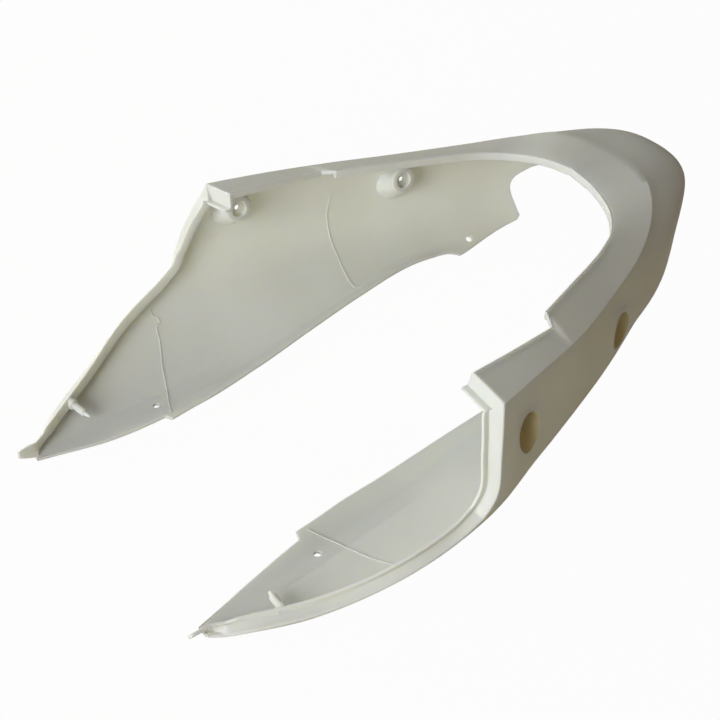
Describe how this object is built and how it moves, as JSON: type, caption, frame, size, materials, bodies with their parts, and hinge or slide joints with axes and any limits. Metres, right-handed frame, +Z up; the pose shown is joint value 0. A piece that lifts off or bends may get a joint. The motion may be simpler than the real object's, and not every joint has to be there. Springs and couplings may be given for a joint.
{
  "type": "motorcycle tail fairing",
  "caption": "One-piece moulded tail fairing: a horseshoe shell with two side panels, a top band around the seat, screw bosses and a raised tail over a lamp opening.",
  "frame": {"origin": "centre of the outline in plan, at the height of the lowest edge", "axes": "-Y forward along the motorcycle to the tips of the side panels, +Y rearward to the tail, +Z up, +X to the rider's right"},
  "size_m": [0.3682, 0.5535, 0.179],
  "materials": {
    "moulded_shell": "as moulded, unpainted, low sheen"
  },
  "bodies": {
    "root": {"tail_fairing": "moulded_shell"}
  },
  "joints": []
}
